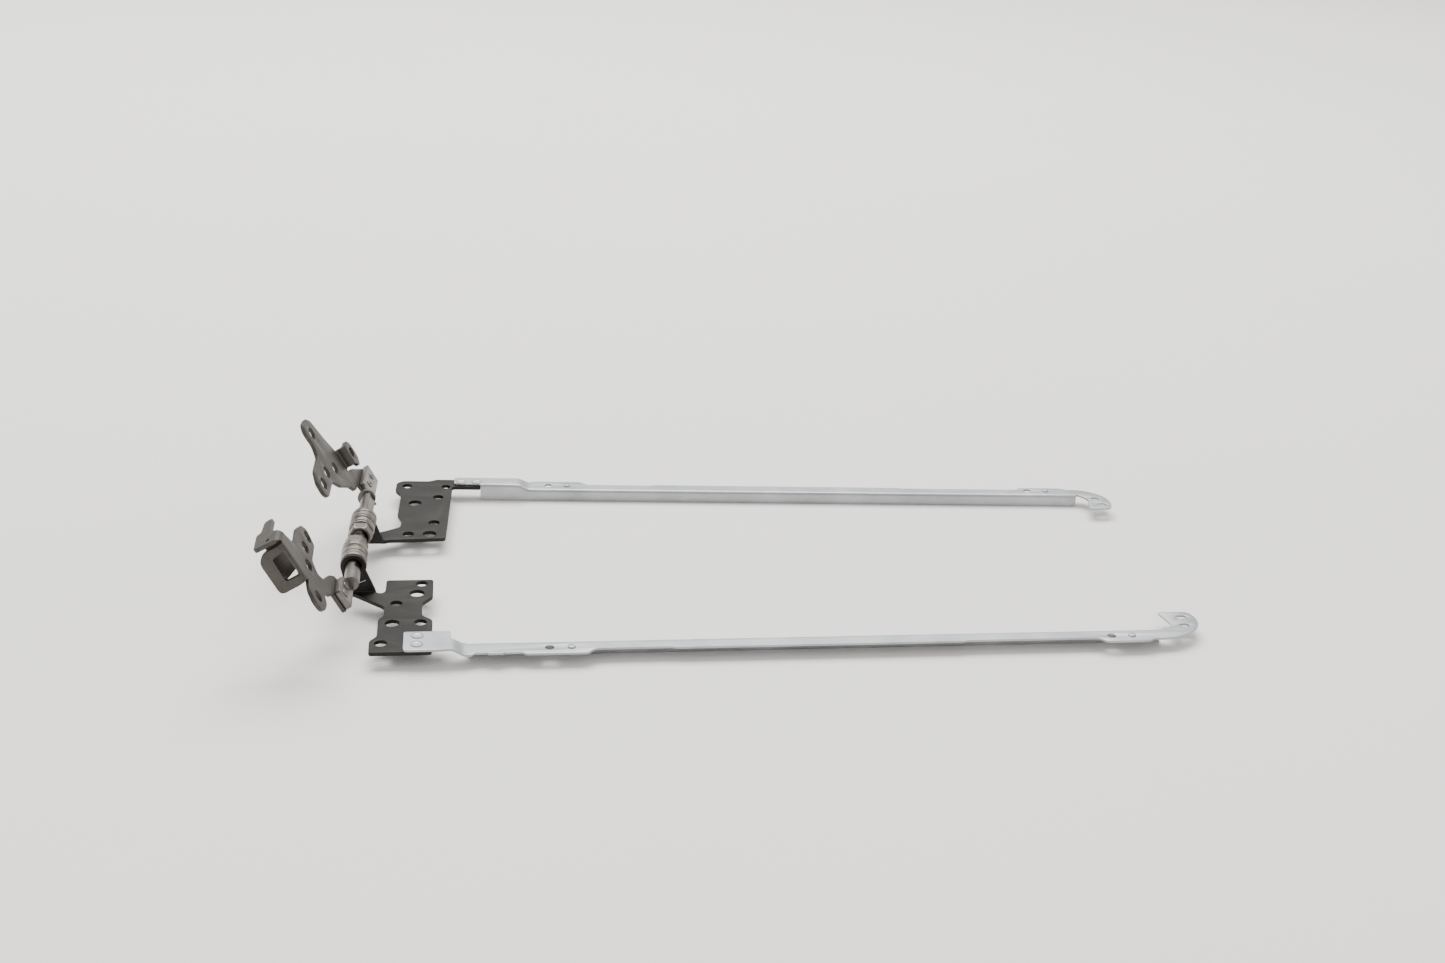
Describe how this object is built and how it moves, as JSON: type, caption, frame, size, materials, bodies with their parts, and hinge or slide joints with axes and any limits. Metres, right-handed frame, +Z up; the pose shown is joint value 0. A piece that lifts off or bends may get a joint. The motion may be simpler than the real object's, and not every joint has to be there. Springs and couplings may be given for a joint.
{
  "type": "notebook display friction hinge pair",
  "caption": "Left and right friction hinges of a notebook display, each with a long display rail riveted to its lid leaf, a stack of friction discs and a bent base bracket.",
  "frame": {"origin": "centre of the pair's outline in plan, on the surface that the rails lie on", "axes": "+X along the rails from the hinges to the hooked ends, +Y along the hinge axes from the near hinge to the far one, +Z up from the surface"},
  "size_m": [0.2342, 0.1038, 0.0365],
  "materials": {
    "zinc_rail": "zinc-plated sheet steel, satin, cool grey with fine rolling grain and light handling marks",
    "zinc_rivet": "pressed zinc-plated rivet, satin",
    "dark_plate": "dark grey-brown nickel-plated steel, satin, brighter on the sheared edges",
    "dark_rivet": "dark plated steel, staked",
    "turned_steel": "turned and milled steel, satin with fine turning rings",
    "bronzed_disc": "hardened friction disc, warm grey with a film of grease",
    "spring_steel": "polished spring steel",
    "dark_nut": "dark plated self-locking nut"
  },
  "bodies": {
    "lid_side": {"near_display_rail": "zinc_rail", "near_lid_leaf": "dark_plate", "near_clinch_rivet_1": "zinc_rivet", "near_clinch_rivet_2": "zinc_rivet", "near_friction_bush": "bronzed_disc", "near_friction_disc_b": "bronzed_disc", "far_display_rail": "zinc_rail", "far_lid_leaf": "dark_plate", "far_clinch_rivet_1": "zinc_rivet", "far_clinch_rivet_2": "zinc_rivet", "far_friction_bush": "bronzed_disc", "far_friction_disc_b": "bronzed_disc"},
    "near_base": {"near_shaft": "turned_steel", "near_base_bracket": "dark_plate", "near_shaft_rivet_1": "dark_rivet", "near_shaft_rivet_2": "dark_rivet", "near_friction_disc_a": "bronzed_disc", "near_friction_disc_c": "bronzed_disc", "near_backing_washer": "bronzed_disc", "near_disc_spring_a": "spring_steel", "near_disc_spring_b": "spring_steel", "near_pressure_washer": "bronzed_disc", "near_lock_nut": "dark_nut"},
    "far_base": {"far_shaft": "turned_steel", "far_base_bracket": "dark_plate", "far_shaft_rivet_1": "dark_rivet", "far_shaft_rivet_2": "dark_rivet", "far_friction_disc_a": "bronzed_disc", "far_friction_disc_c": "bronzed_disc", "far_backing_washer": "bronzed_disc", "far_disc_spring_a": "spring_steel", "far_disc_spring_b": "spring_steel", "far_pressure_washer": "bronzed_disc", "far_lock_nut": "dark_nut"}
  },
  "joints": [
    {"name": "near_hinge_turn", "type": "hinge", "parent": "lid_side", "child": "near_base", "pos_m": [-0.0973, -0.01778, 0.0114], "axis": [-0.0236, 0.9997, 0], "range_deg": [-21, 119]},
    {"name": "far_hinge_turn", "type": "hinge", "parent": "lid_side", "child": "far_base", "pos_m": [-0.09654, 0.01092, 0.0114], "axis": [0.0236, 0.9997, 0], "range_deg": [-21, 119]}
  ]
}
